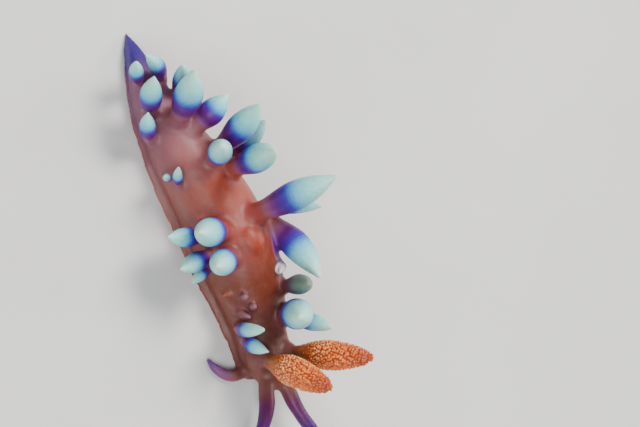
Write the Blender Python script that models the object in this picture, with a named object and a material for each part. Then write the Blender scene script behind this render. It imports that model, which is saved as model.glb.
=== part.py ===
"""Desirable flabellina, an aeolid sea slug, as a life-size still model.

Units are metres, +Z is up and the head points to +X. The animal lies on the plane z = 0. Places along
the body are fractions of its length, from 0 at the snout to 1 at the tail tip. Angles round the body
are degrees from straight up, and grow to the animal's left.
"""
import math

import bmesh
import bpy
from mathutils import Matrix, Vector

MM = 0.001

# Driving sizes
BODY_LENGTH = 26.0 * MM
GAP = 0.3 * MM
FOOT_THICKNESS = 0.7 * MM
ORIGIN_PLACE = 0.47

# The middle line's heading in degrees: the body bends gently, first one way and then the other
HEADINGS = [(0.0, -18), (0.12, -13), (0.25, -7), (0.4, 0), (0.52, 5), (0.65, 7), (0.8, -2), (1.0, -20)]

# Trunk width, top and bottom, in millimetres, at places along the body
TRUNK_WIDTH = [
    (0.0, 0.9), (0.02, 2.1), (0.045, 2.9), (0.08, 3.4), (0.15, 3.5), (0.24, 4.4), (0.36, 5.2),
    (0.48, 5.1), (0.6, 4.6), (0.72, 3.6), (0.84, 2.3), (0.93, 1.1), (0.98, 0.5), (1.0, 0.2),
]
TRUNK_TOP = [
    (0.0, 2.25), (0.02, 2.6), (0.045, 2.85), (0.08, 3.0), (0.15, 3.1), (0.24, 3.8), (0.36, 4.5),
    (0.48, 4.4), (0.6, 4.0), (0.72, 3.2), (0.84, 2.25), (0.93, 1.3), (0.98, 0.65), (1.0, 0.3),
]
TRUNK_BOTTOM = [(0.0, 1.55), (0.02, 1.2), (0.045, 1.0), (1.0, 1.0)]
FOOT_WIDTH = [
    (0.03, 1.9), (0.042, 2.8), (0.06, 3.3), (0.1, 3.7), (0.15, 4.0), (0.24, 4.9), (0.36, 5.8),
    (0.48, 5.6), (0.6, 5.0), (0.72, 3.7), (0.84, 2.2), (0.93, 1.0),
]
FLAT_SHARE = 0.72            # width of the trunk's flat underside over its full width
WAIST_SHARE = 0.3            # least height of the trunk's widest line, between its bottom and its top
TRUNK_ARCH_STEPS = 12
TRUNK_FLANK_STEPS = 3
RING_SPACING = 0.8 * MM
SNOUT_PLACES = [0.006, 0.016]
FOOT_FRONT_STEPS = [0.005, 0.011, 0.019]
FRONT_END = 0.07             # place where the snout and the foot's front edge are fully rounded off
SOLE_EDGE = [(0.15, 0.0), (0.0, 0.2)]      # inwards from the foot's margin and up from the sole, in mm
TOP_EDGE = [(0.12, 0.15), (0.45, 0.0)]     # inwards from the margin and down from the foot's top, in mm

# The trunk's solids: name, first place, last place
TRUNK_NODES = [
    ("head", 0.0, 0.118),
    ("body_front", 0.118, 0.315),
    ("body_middle", 0.315, 0.485),
    ("body_rear", 0.485, 0.66),
    ("tail", 0.66, 0.925),
    ("tail_tip", 0.925, 1.0),
]

# Cerata: place, angle from the top, length in mm, sweep to the head, splay from upright, girth
LEFT_CERATA = [
    (0.168, 83, 4.4, 20, 14, 0.79),
    (0.177, 41, 6.9, 1, -25, 0.86),
    (0.242, 46, 5.2, 0, -15, 0.76),
    (0.300, 62, 2.2, 14, -44, 0.8),
    (0.406, 78, 6.0, 52, -6, 0.93),
    (0.440, 22, 7.0, -3, 26, 0.82),
    (0.435, 75, 5.2, 14, 16, 0.6),
    (0.562, 37, 7.8, -5, -10, 0.71),
    (0.576, 81, 5.0, -19, 16, 0.8),
    (0.612, 11, 5.1, -13, -21, 0.92),
    (0.622, 39, 6.2, -17, 9, 0.86),
    (0.701, 23, 3.4, -18, 41, 1.48),
    (0.718, 62, 1.3, -10, 40, 1.3),
    (0.742, 2, 5.9, -28, -4, 0.96),
    (0.788, 84, 4.5, -27, -13, 0.85),
    (0.850, 52, 3.9, -29, -40, 0.82),
]
RIGHT_CERATA = [
    (0.147, 86, 3.8, 19, 6, 0.75),
    (0.177, 88, 5.9, 3, 15, 0.48),
    (0.223, 74, 1.5, 30, -16, 1.18),
    (0.222, 38, 1.0, 0, 20, 1.5),
    (0.255, 48, 1.1, 0, 20, 1.5),
    (0.362, 86, 2.4, 8, 78, 0.95),
    (0.370, 47, 4.6, -3, 44, 1.1),
    (0.396, 74, 4.0, -4, 66, 0.95),
    (0.446, 42, 6.0, -12, 44, 0.92),
    (0.452, 72, 4.0, -20, 66, 0.95),
    (0.599, 70, 2.9, -31, 14, 0.69),
    (0.625, 80, 1.5, -20, 40, 1.1),
    (0.723, 84, 3.7, -34, 17, 0.92),
    (0.787, 52, 4.8, -27, 15, 0.92),
    (0.862, 56, 3.7, -21, 26, 0.8),
]
CERAS_SLENDERNESS = 0.18     # widest radius over length, at girth 1
CERAS_RADIUS_LIMITS = (0.3 * MM, 1.15 * MM)
CERAS_BOW = 0.24             # how far the axis bows outwards, over its length
CERAS_SUNK = 0.8 * MM
CERAS_SUNK_SHARE = 1.4       # most depth of the root in the trunk over the widest radius
# A ceras has a stout stalk, is widest at its coloured ring and tapers to a point: share of length,
# share of widest radius
CERAS_PROFILE = [(0.1, 0.7), (0.26, 0.84), (0.44, 1.0), (0.6, 0.93), (0.76, 0.68), (0.9, 0.33), (1.0, 0.07)]

# Rhinophores stand on the head. Their axes are given in the head's own directions
RHINOPHORE_PLACE = 0.08
RHINOPHORE_ANGLE = 36
RHINOPHORE_LENGTH = 6.2 * MM
RHINOPHORE_LEAN = {"left": 12, "right": 24}
RHINOPHORE_SPLAY = {"left": 24, "right": -8}
RHINOPHORE_SUNK = 0.7 * MM
RHINOPHORE_PROFILE = [
    (0.0, 0.55), (0.1, 0.56), (0.22, 0.72), (0.36, 0.9), (0.5, 0.94), (0.66, 0.87),
    (0.82, 0.69), (0.94, 0.46), (1.0, 0.24),
]
PAPILLA_ROWS = 9
PAPILLA_SIDES = 5
FEWEST_PAPILLAE = 3          # in a row
PAPILLA_FIRST, PAPILLA_LAST = 0.22, 0.94
PAPILLA_RADIUS = 0.27 * MM
PAPILLA_LENGTH = 0.5 * MM
PAPILLA_SUNK = 0.2 * MM
PAPILLA_TIP = 0.5            # tip radius over root radius
PAPILLA_PITCH = 0.62 * MM
PAPILLA_LEAN = 0.55          # how far a papilla leans to the club's tip, over how far it points outwards
PAPILLA_OFFSETS = [0.75, 0.25]   # start of even and odd rows, in pitches
BARE_FRONT = 60              # degrees of the club's front that carry no papillae

# Oral tentacles reach forwards from the snout's corners: points forwards, outwards and up, in mm
TENTACLE_ROUTE = [
    (-1.0, 0.7, 1.9), (0.1, 0.85, 2.0), (1.2, 1.1, 2.1), (2.4, 1.65, 2.15),
    (3.6, 2.5, 2.1), (4.7, 3.5, 1.85), (5.5, 4.4, 1.55),
]
TENTACLE_RADII = [0.5, 0.56, 0.52, 0.46, 0.4, 0.32, 0.16]

# Foot corners, the slender points of the foot's front edge, curve back along the floor
CORNER_ROUTE = [
    (-1.5, 0.6, 0.36), (-1.35, 1.5, 0.38), (-1.25, 2.2, 0.38), (-1.45, 2.9, 0.34),
    (-1.95, 3.5, 0.28), (-2.55, 3.9, 0.2),
]
CORNER_RADII = [0.46, 0.46, 0.44, 0.38, 0.3, 0.14]

# Lips: two upright folds beside the mouth's slit, under the front of the head
LIP_SIZE = (0.42 * MM, 0.3 * MM, 0.44 * MM)
LIP_SPACING = 0.27 * MM
LIP_FORWARD = -0.25 * MM
LIP_HEIGHT = 1.38 * MM
MOUTH_SIZE = (0.6 * MM, 0.13 * MM, 0.5 * MM)

# The heart shows as a low swelling on the back
HEART_PLACE = 0.386
HEART_SIZE = (1.3 * MM, 1.0 * MM, 0.8 * MM)
HEART_SUNK = 0.45 * MM

# Cutters that keep the limbs clear of the head and the foot
HEAD_CUTTER_END = 0.2
FOOT_CUTTER_PLACES = [0.06, 0.08, 0.1, 0.14, 0.2]
FLOOR_CUTTER_REACH = 20 * MM
FLOOR_CUTTER_DEPTH = 2 * MM

LINE_STEPS = 400             # steps along the middle line
LIMB_STEPS = 2               # rings of a limb between two points of its route
LIMB_RESOLUTION = 2          # bevel resolution of the cerata, tentacles and foot corners
CLUB_RESOLUTION = 3          # bevel resolution of the rhinophores
ELLIPSOID_SEGMENTS = 12
ELLIPSOID_ROWS = 8
WELD_DISTANCE = 0.002 * MM
SHARP_ANGLE = 50             # degrees between faces above which an edge is shaded sharp

MATERIALS = {
    "flesh": ((0.86, 0.42, 0.33, 1.0), 0.35),
    "ceras_flesh": ((0.62, 0.6, 0.78, 1.0), 0.35),
    "orange": ((0.85, 0.32, 0.06, 1.0), 0.45),
    "violet": ((0.3, 0.12, 0.55, 1.0), 0.35),
    "sole": ((0.9, 0.62, 0.58, 1.0), 0.4),
}
TRUNK_MATERIALS = {"head": "flesh", "tail_tip": "violet"}    # the other lengths carry cerata


def smooth_value(table, place):
    """Read a table of (place, value) with a smooth curve through its points."""
    places = [row[0] for row in table]
    values = [row[1] for row in table]
    last = len(table) - 1

    def slope(index):
        low, high = max(index - 1, 0), min(index + 1, last)
        return (values[high] - values[low]) / (places[high] - places[low])

    place = min(max(place, places[0]), places[last])
    left = max(index for index in range(last) if places[index] <= place)
    span = places[left + 1] - places[left]
    t = (place - places[left]) / span
    rise = (3 - 2 * t) * t * t
    start_bend = (t - 1) ** 2 * t * span * slope(left)
    end_bend = (t - 1) * t * t * span * slope(left + 1)
    return values[left] + (values[left + 1] - values[left]) * rise + start_bend + end_bend


def heading(place):
    """Direction of the middle line towards the head, in radians from +X."""
    return math.radians(smooth_value(HEADINGS, place))


def walk_middle_line():
    """Points of the middle line on the floor, from snout to tail, with the origin at its place."""
    points = [Vector((0.0, 0.0, 0.0))]
    step = BODY_LENGTH / LINE_STEPS
    for index in range(LINE_STEPS):
        angle = heading((index + 0.5) / LINE_STEPS)
        points.append(points[-1] - Vector((math.cos(angle), math.sin(angle), 0.0)) * step)
    shift = points[round(ORIGIN_PLACE * LINE_STEPS)].copy()
    return [point - shift for point in points]


MIDDLE_LINE = walk_middle_line()


def centre(place):
    """The middle line's point on the floor at a place."""
    along = min(max(place, 0.0), 1.0) * (len(MIDDLE_LINE) - 1)
    index = min(int(along), len(MIDDLE_LINE) - 2)
    return MIDDLE_LINE[index].lerp(MIDDLE_LINE[index + 1], along - index)


def directions(place):
    """Unit vectors towards the head and to the animal's left."""
    angle = heading(place)
    forward = Vector((math.cos(angle), math.sin(angle), 0.0))
    left = Vector((-math.sin(angle), math.cos(angle), 0.0))
    return forward, left


def trunk_sizes(place, grow=0.0):
    """Half width, top and bottom of the trunk in metres."""
    half = smooth_value(TRUNK_WIDTH, place) * MM / 2 + grow
    top = smooth_value(TRUNK_TOP, place) * MM + grow
    bottom = smooth_value(TRUNK_BOTTOM, place) * MM - grow
    return half, top, bottom


def waist_height(top, bottom):
    """Height at which the trunk is widest."""
    return max(top / 2, bottom + (top - bottom) * WAIST_SHARE)


def trunk_ring(place, grow=0.0, floor=None):
    """One cross-section of the trunk: an arch over flanks that narrow to a flat underside."""
    half, top, bottom = trunk_sizes(place, grow)
    if floor is not None:
        bottom = floor
    waist = waist_height(top, bottom)
    outline = []
    for step in range(TRUNK_ARCH_STEPS + 1):
        angle = math.radians(-90 + 180 * step / TRUNK_ARCH_STEPS)
        outline.append((half * math.sin(angle), waist + (top - waist) * math.cos(angle)))
    flank = []
    for step in range(1, TRUNK_FLANK_STEPS + 1):
        angle = math.radians(90 * step / TRUNK_FLANK_STEPS)
        across = half * (FLAT_SHARE + (1 - FLAT_SHARE) * math.cos(angle))
        flank.append((across, waist - (waist - bottom) * math.sin(angle)))
    outline += flank + [(-across, up) for across, up in reversed(flank)]
    return place_outline(place, outline)


def foot_ring(place, grow=0.0):
    """One cross-section of the foot: flat below and above, with a rounded margin."""
    half = smooth_value(FOOT_WIDTH, place) * MM / 2 + grow
    low, high = -grow, FOOT_THICKNESS + grow
    margin = [(half - inwards * MM, low + up * MM) for inwards, up in SOLE_EDGE]
    margin += [(half - inwards * MM, high - down * MM) for inwards, down in TOP_EDGE]
    outline = [(-across, up) for across, up in margin] + list(reversed(margin))
    return place_outline(place, outline)


def place_outline(place, outline):
    """Stand an (across, up) outline across the middle line."""
    left = directions(place)[1]
    return [centre(place) + left * across + Vector((0.0, 0.0, up)) for across, up in outline]


def back_point(place, angle):
    """A point of the trunk's skin at an angle from straight up, and the direction out of the skin."""
    half, top, bottom = trunk_sizes(place)
    waist = waist_height(top, bottom)
    left = directions(place)[1]
    turn = math.radians(angle)
    up = Vector((0.0, 0.0, 1.0))
    point = centre(place) + left * (half * math.sin(turn)) + up * (waist + (top - waist) * math.cos(turn))
    return point, left * math.sin(turn) + up * math.cos(turn)


def make_material(name):
    """A Principled material with the part's colour and roughness."""
    material = bpy.data.materials.get(name)
    if material is None:
        colour, roughness = MATERIALS[name]
        material = bpy.data.materials.new(name)
        material.use_nodes = True
        shader = material.node_tree.nodes["Principled BSDF"]
        shader.inputs["Base Color"].default_value = colour
        shader.inputs["Roughness"].default_value = roughness
        shader.inputs["Metallic"].default_value = 0.0
    return material


def new_object(name, mesh):
    """Put a mesh in the scene as an object."""
    obj = bpy.data.objects.new(name, mesh)
    bpy.context.scene.collection.objects.link(obj)
    return obj


def loft(name, rings):
    """A closed solid through rings of points that have the same count."""
    model = bmesh.new()
    rows = [[model.verts.new(point) for point in ring] for ring in rings]
    count = len(rings[0])
    for row, after in zip(rows, rows[1:]):
        for index in range(count):
            beside = (index + 1) % count
            model.faces.new((row[index], row[beside], after[beside], after[index]))
    model.faces.new(reversed(rows[0]))
    model.faces.new(rows[-1])
    bmesh.ops.recalc_face_normals(model, faces=model.faces)
    mesh = bpy.data.meshes.new(name)
    model.to_mesh(mesh)
    model.free()
    return new_object(name, mesh)


def ring_places(first, last):
    """Places for the rings of a stretch, close together at the snout, where the form turns quickly."""
    count = max(2, math.ceil((last - first) * BODY_LENGTH / RING_SPACING))
    places = [first + (last - first) * step / count for step in range(count + 1)]
    if first == 0.0:
        places[1:1] = SNOUT_PLACES
    return places


def push_forwards(rings, places, grow):
    """Move a grown outline's first rings forwards as well, where the surface faces forwards."""
    moved = []
    for ring, place in zip(rings, places):
        ahead = directions(place)[0] * (grow * max(0.0, 1 - place / FRONT_END))
        moved.append([point + ahead for point in ring])
    return moved


def trunk_solid(name, first, last, grow=0.0, floor=None):
    """One length of the trunk."""
    places = ring_places(first, last)
    rings = [trunk_ring(place, grow, floor) for place in places]
    return loft(name, push_forwards(rings, places, grow))


def tube(name, points, radii, resolution=LIMB_RESOLUTION):
    """A closed tube with a radius at each point, as a mesh."""
    curve = bpy.data.curves.new(name, "CURVE")
    curve.dimensions = "3D"
    curve.bevel_depth = 1.0
    curve.bevel_resolution = resolution
    curve.use_fill_caps = True
    spline = curve.splines.new("POLY")
    spline.points.add(len(points) - 1)
    for knot, point, radius in zip(spline.points, points, radii):
        knot.co = (point[0], point[1], point[2], 1.0)
        knot.radius = radius
    source = new_object(name + " curve", curve)
    bpy.context.view_layer.update()
    depsgraph = bpy.context.evaluated_depsgraph_get()
    mesh = bpy.data.meshes.new_from_object(source.evaluated_get(depsgraph))
    model = bmesh.new()
    model.from_mesh(mesh)
    bmesh.ops.remove_doubles(model, verts=model.verts, dist=WELD_DISTANCE)
    bmesh.ops.recalc_face_normals(model, faces=model.faces)
    model.to_mesh(mesh)
    model.free()
    result = new_object(name, mesh)
    result.matrix_world = source.matrix_world
    bpy.data.objects.remove(source)
    return result


def ellipsoid(name, place, sizes, turn=0.0):
    """A closed ellipsoid with the given half sizes, turned about the vertical."""
    model = bmesh.new()
    bmesh.ops.create_uvsphere(model, u_segments=ELLIPSOID_SEGMENTS, v_segments=ELLIPSOID_ROWS, radius=1.0)
    mesh = bpy.data.meshes.new(name)
    model.to_mesh(mesh)
    model.free()
    mesh.transform(Matrix.Translation(place) @ Matrix.Rotation(turn, 4, "Z") @ Matrix.Diagonal((*sizes, 1.0)))
    return new_object(name, mesh)


def box(name, low, high):
    """A closed box between two corners."""
    model = bmesh.new()
    bmesh.ops.create_cube(model, size=1.0)
    mesh = bpy.data.meshes.new(name)
    model.to_mesh(mesh)
    model.free()
    middle = (Vector(low) + Vector(high)) / 2
    sizes = Vector(high) - Vector(low)
    mesh.transform(Matrix.Translation(middle) @ Matrix.Diagonal((*sizes, 1.0)))
    return new_object(name, mesh)


def boolean(body, pieces, operation):
    """Join pieces to a body, or cut them from it, with one Boolean on a collection of closed meshes."""
    group = bpy.data.collections.new(body.name + " pieces")
    bpy.context.scene.collection.children.link(group)
    for piece in pieces:
        group.objects.link(piece)
    change = body.modifiers.new(operation.title(), "BOOLEAN")
    change.operation = operation
    change.operand_type = "COLLECTION"
    change.collection = group
    change.solver = "EXACT"
    bpy.context.view_layer.update()
    depsgraph = bpy.context.evaluated_depsgraph_get()
    mesh = bpy.data.meshes.new_from_object(body.evaluated_get(depsgraph))
    body.modifiers.clear()
    body.data = mesh
    for piece in pieces:
        bpy.data.objects.remove(piece)
    bpy.data.collections.remove(group)
    keep_largest(body)


def keep_largest(body):
    """Keep only the mesh's largest closed surface."""
    model = bmesh.new()
    model.from_mesh(body.data)
    bmesh.ops.remove_doubles(model, verts=model.verts, dist=WELD_DISTANCE)
    bmesh.ops.dissolve_degenerate(model, edges=model.edges, dist=WELD_DISTANCE)
    waiting = set(model.faces)
    shells = []
    while waiting:
        shell = set()
        stack = [waiting.pop()]
        while stack:
            face = stack.pop()
            shell.add(face)
            for edge in face.edges:
                for neighbour in edge.link_faces:
                    if neighbour in waiting:
                        waiting.remove(neighbour)
                        stack.append(neighbour)
        shells.append(shell)
    shells.sort(key=lambda shell: sum(face.calc_area() for face in shell))
    loose = [face for shell in shells[:-1] for face in shell]
    bmesh.ops.delete(model, geom=loose, context="FACES")
    bmesh.ops.triangulate(model, faces=model.faces)
    model.to_mesh(body.data)
    model.free()


def ceras(name, side, place, angle, length, sweep, splay, girth):
    """One ceras: it leaves the skin outwards and bows towards its tip."""
    root, outwards = back_point(place, angle * side)
    forward, left = directions(place)
    tilt, lean = math.radians(sweep), math.radians(splay)
    aside = left * (side * math.sin(lean)) + Vector((0.0, 0.0, math.cos(lean)))
    axis = forward * math.sin(tilt) + aside * math.cos(tilt)
    bow = (outwards - axis * outwards.dot(axis)) * (CERAS_BOW * length)
    least, most = CERAS_RADIUS_LIMITS
    radius = max(least, min(most, length * CERAS_SLENDERNESS * girth))
    sunk = min(CERAS_SUNK, radius * CERAS_SUNK_SHARE)
    points = [root - outwards * sunk]
    radii = [radius * CERAS_PROFILE[0][1]]
    for share, width in CERAS_PROFILE:
        points.append(root + axis * (length * share) + bow * (share * (1 - share)))
        radii.append(radius * width)
    return tube(name, points, radii)


def cerata_between(first, last):
    """The cerata that grow from one length of the trunk."""
    made = []
    for side, rows in ((1, LEFT_CERATA), (-1, RIGHT_CERATA)):
        for index, row in enumerate(rows):
            place, angle, length, sweep, splay, girth = row
            if first < place < last:
                name = f"ceras {'left' if side > 0 else 'right'} {index + 1}"
                made.append(ceras(name, side, place, angle, length * MM, sweep, splay, girth))
    return made


def trunk_ends(first, last):
    """Pull a stretch's ends back, so that neighbours keep the gap."""
    half_gap = GAP / 2 / BODY_LENGTH
    start = first + half_gap if first > 0.0 else first
    end = last - half_gap if last < 1.0 else last
    return start, end


def head_point(forwards, outwards, up, side=1):
    """A point given forwards of the snout, outwards to one side and up, in millimetres."""
    forward, left = directions(0.0)
    return centre(0.0) + (forward * forwards + left * (outwards * side) + Vector((0.0, 0.0, up))) * MM


def mouth_middle():
    """The point between the lips."""
    return centre(0.0) + directions(0.0)[0] * LIP_FORWARD + Vector((0.0, 0.0, LIP_HEIGHT))


def make_lips(grow=0.0):
    """The left and right lips."""
    left = directions(0.0)[1]
    sizes = [size + grow for size in LIP_SIZE]
    return [
        ellipsoid(f"lip {side}", mouth_middle() + left * (LIP_SPACING * side), sizes, heading(0.0))
        for side in (1, -1)
    ]


def make_head(name, first, last):
    """The head, with the two lips and the mouth's slit between them."""
    head = trunk_solid(name, *trunk_ends(first, last))
    boolean(head, make_lips(), "UNION")
    slit_middle = mouth_middle() + directions(0.0)[0] * LIP_SIZE[0]
    slit = ellipsoid("mouth", slit_middle, MOUTH_SIZE, heading(0.0))
    boolean(head, [slit], "DIFFERENCE")
    return head


def make_trunk():
    """All lengths of the trunk, with their cerata."""
    solids = {}
    for name, first, last in TRUNK_NODES:
        if name == "head":
            solids[name] = make_head(name, first, last)
            continue
        floor = 0.0 if name == "tail_tip" else None
        solid = trunk_solid(name, *trunk_ends(first, last), floor=floor)
        pieces = cerata_between(first, last)
        if name == "body_middle":
            pieces.append(make_heart())
        if pieces:
            boolean(solid, pieces, "UNION")
        solids[name] = solid
    return solids


def make_heart():
    """The low swelling over the heart."""
    top, upwards = back_point(HEART_PLACE, 0)
    return ellipsoid("heart", top - upwards * HEART_SUNK, HEART_SIZE, heading(HEART_PLACE))


def foot_front_places(first):
    """Extra rings where the foot's front edge is rounded."""
    return [first + step for step in FOOT_FRONT_STEPS]


def make_foot():
    """The foot's sole under the trunk, up to the tail tip."""
    first = FOOT_WIDTH[0][0]
    last = TRUNK_NODES[-1][1] - GAP / 2 / BODY_LENGTH
    places = sorted(ring_places(first, last) + foot_front_places(first))
    return loft("foot", [foot_ring(place) for place in places])


def grown_head():
    """The head and neck with the gap's thickness all round, as a cutter."""
    return trunk_solid("head cutter", 0.0, HEAD_CUTTER_END, grow=GAP)


def grown_foot():
    """The front of the foot with the gap's thickness all round, as a cutter."""
    first = FOOT_WIDTH[0][0]
    places = [first, *foot_front_places(first), *FOOT_CUTTER_PLACES]
    rings = [foot_ring(place, GAP) for place in places]
    return loft("foot cutter", push_forwards(rings, places, GAP * 2))


def rhinophore_axis(side_name):
    """Root, axis and front direction of a rhinophore."""
    side = 1 if side_name == "left" else -1
    root = back_point(RHINOPHORE_PLACE, RHINOPHORE_ANGLE * side)[0]
    forward, left = directions(RHINOPHORE_PLACE)
    lean = math.radians(RHINOPHORE_LEAN[side_name])
    splay = math.radians(RHINOPHORE_SPLAY[side_name] * side)
    aside = left * math.sin(splay) + Vector((0.0, 0.0, math.cos(splay)))
    axis = forward * math.sin(lean) + aside * math.cos(lean)
    front = (forward - axis * forward.dot(axis)).normalized()
    return root, axis, front


def papilla(name, base, axis):
    """One papilla: a blunt cone of few sides."""
    model = bmesh.new()
    bmesh.ops.create_cone(
        model, cap_ends=True, segments=PAPILLA_SIDES, radius1=PAPILLA_RADIUS, radius2=PAPILLA_RADIUS * PAPILLA_TIP,
        depth=PAPILLA_LENGTH,
    )
    mesh = bpy.data.meshes.new(name)
    model.to_mesh(mesh)
    model.free()
    turn = axis.to_track_quat("Z", "Y").to_matrix().to_4x4()
    middle = base + axis * (PAPILLA_LENGTH / 2 - PAPILLA_SUNK)
    mesh.transform(Matrix.Translation(middle) @ turn)
    return new_object(name, mesh)


def profile_value(profile, share):
    """Straight-line reading of a profile."""
    for (low, start), (high, end) in zip(profile, profile[1:]):
        if share <= high:
            return start + (end - start) * (share - low) / (high - low)
    return profile[-1][1]


def make_rhinophore(side_name):
    """A smooth stalk and a club that is covered with papillae except along its front."""
    root, axis, front = rhinophore_axis(side_name)
    aside = axis.cross(front)
    name = "rhinophore_" + side_name
    points = [root - axis * RHINOPHORE_SUNK]
    radii = [RHINOPHORE_PROFILE[0][1] * MM]
    for share, radius in RHINOPHORE_PROFILE:
        points.append(root + axis * (RHINOPHORE_LENGTH * share))
        radii.append(radius * MM)
    body = tube(name, points, radii, CLUB_RESOLUTION)
    covered = math.radians(360 - BARE_FRONT)
    papillae = []
    for row in range(PAPILLA_ROWS):
        share = PAPILLA_FIRST + (PAPILLA_LAST - PAPILLA_FIRST) * row / (PAPILLA_ROWS - 1)
        radius = profile_value(RHINOPHORE_PROFILE, share) * MM
        count = max(FEWEST_PAPILLAE, int(radius * covered / PAPILLA_PITCH))
        for index in range(count):
            offset = PAPILLA_OFFSETS[row % 2]
            turn = math.radians(BARE_FRONT / 2) + covered * (index + offset) / count
            outwards = front * math.cos(turn) + aside * math.sin(turn)
            lean = (outwards + axis * PAPILLA_LEAN).normalized()
            base = root + axis * (RHINOPHORE_LENGTH * share) + outwards * radius
            papillae.append(papilla(f"papilla {row} {index}", base, lean))
    boolean(body, papillae, "UNION")
    boolean(body, [grown_head()], "DIFFERENCE")
    return body


def make_limb(name, route, radii, side):
    """A slender limb along a route from the head, smoothed between its points."""
    spans = len(route) - 1
    count = spans * LIMB_STEPS
    rows = [[(index / spans, row[axis]) for index, row in enumerate(route)] for axis in range(3)]
    widths = [(index / spans, radius) for index, radius in enumerate(radii)]
    points = []
    sizes = []
    for step in range(count + 1):
        share = step / count
        forwards, outwards, up = (smooth_value(row, share) for row in rows)
        points.append(head_point(forwards, outwards, up, side))
        sizes.append(smooth_value(widths, share) * MM)
    return tube(name, points, sizes)


def make_tentacle(side_name):
    """An oral tentacle, cut back from the head."""
    side = 1 if side_name == "left" else -1
    body = make_limb("oral_tentacle_" + side_name, TENTACLE_ROUTE, TENTACLE_RADII, side)
    boolean(body, [grown_head(), *make_lips(GAP)], "DIFFERENCE")
    return body


def make_foot_corner(side_name):
    """A foot corner, flat where it lies on the floor."""
    side = 1 if side_name == "left" else -1
    body = make_limb("foot_corner_" + side_name, CORNER_ROUTE, CORNER_RADII, side)
    reach = FLOOR_CUTTER_REACH
    floor_cutter = box("floor cutter", (-reach, -reach, -FLOOR_CUTTER_DEPTH), (reach, reach, 0.0))
    boolean(body, [grown_foot(), floor_cutter], "DIFFERENCE")
    return body


def finish(obj, material_name, home):
    """Give an object its material and smooth shading, and move it to the model's collection."""
    obj.data.materials.clear()
    obj.data.materials.append(make_material(material_name))
    obj.data.shade_smooth()
    obj.data.set_sharp_from_angle(angle=math.radians(SHARP_ANGLE))
    for collection in list(obj.users_collection):
        collection.objects.unlink(obj)
    home.objects.link(obj)


def build():
    """Make the whole animal."""
    for obj in list(bpy.data.objects):
        bpy.data.objects.remove(obj)
    home = bpy.data.collections.new("Desirable flabellina")
    bpy.context.scene.collection.children.link(home)
    trunk = make_trunk()
    for name, solid in trunk.items():
        finish(solid, TRUNK_MATERIALS.get(name, "ceras_flesh"), home)
    finish(make_foot(), "sole", home)
    for side_name in ("left", "right"):
        finish(make_rhinophore(side_name), "orange", home)
        finish(make_tentacle(side_name), "violet", home)
        finish(make_foot_corner(side_name), "sole", home)


build()
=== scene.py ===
import math

import bpy
import numpy as np
from mathutils import Matrix, Vector


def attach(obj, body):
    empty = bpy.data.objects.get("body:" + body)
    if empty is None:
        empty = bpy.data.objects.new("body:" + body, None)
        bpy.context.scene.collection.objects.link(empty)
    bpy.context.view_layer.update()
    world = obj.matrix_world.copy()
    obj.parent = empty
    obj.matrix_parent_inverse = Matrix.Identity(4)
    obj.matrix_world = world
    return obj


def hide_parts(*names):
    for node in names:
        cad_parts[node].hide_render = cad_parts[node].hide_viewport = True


# Desirable flabellina, an aeolid sea slug: the looks of the life-size still model.
#
# Shapes are worked out in millimetres and turned to metres when a mesh is made. +Z is up and the
# head points to +X. Places along the body are fractions of its length, 0 at the snout and 1 at the
# tail tip. Angles round the body are degrees from straight up, and grow to the animal's left.
# A side is 1 for the animal's left and -1 for its right.

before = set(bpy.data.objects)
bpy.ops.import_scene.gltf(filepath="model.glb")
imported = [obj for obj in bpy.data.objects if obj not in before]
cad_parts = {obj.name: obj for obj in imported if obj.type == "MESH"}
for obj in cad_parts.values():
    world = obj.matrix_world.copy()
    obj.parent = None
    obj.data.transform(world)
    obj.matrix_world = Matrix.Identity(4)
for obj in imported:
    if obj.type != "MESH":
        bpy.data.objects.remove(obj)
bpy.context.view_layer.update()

MM = 0.001

# Driving sizes, in millimetres, as in the solids
BODY_LENGTH = 26.0
ORIGIN_PLACE = 0.47
HEADINGS = [
    (0.0, -18), (0.12, -13), (0.25, -7), (0.4, 0), (0.52, 5), (0.65, 7), (0.8, -2), (1.0, -20),
]
TRUNK_WIDTH = [
    (0.0, 0.9), (0.02, 2.1), (0.045, 2.9), (0.08, 3.4), (0.15, 3.5), (0.24, 4.4), (0.36, 5.2),
    (0.48, 5.1), (0.6, 4.6), (0.72, 3.6), (0.84, 2.3), (0.93, 1.1), (0.98, 0.5), (1.0, 0.2),
]
TRUNK_TOP = [
    (0.0, 2.25), (0.02, 2.6), (0.045, 2.85), (0.08, 3.0), (0.15, 3.1), (0.24, 3.8), (0.36, 4.5),
    (0.48, 4.4), (0.6, 4.0), (0.72, 3.2), (0.84, 2.25), (0.93, 1.3), (0.98, 0.65), (1.0, 0.3),
]
TRUNK_BOTTOM = [(0.0, 1.55), (0.02, 1.2), (0.045, 1.0), (1.0, 1.0)]
FLANK_BOTTOM = [
    (0.0, 1.6), (0.03, 1.15), (0.06, 0.8), (0.1, 0.35), (0.9, 0.35), (0.94, 0.0), (1.0, 0.0),
]
FOOT_WIDTH = [
    (0.03, 1.9), (0.042, 2.8), (0.06, 3.3), (0.1, 3.7), (0.15, 4.0), (0.24, 4.9), (0.36, 5.8),
    (0.48, 5.6), (0.6, 5.0), (0.72, 3.7), (0.84, 2.2), (0.93, 1.0), (0.99, 0.4),
]
WAIST_SHARE = 0.3
FLANK_SHARE = 0.8

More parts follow.
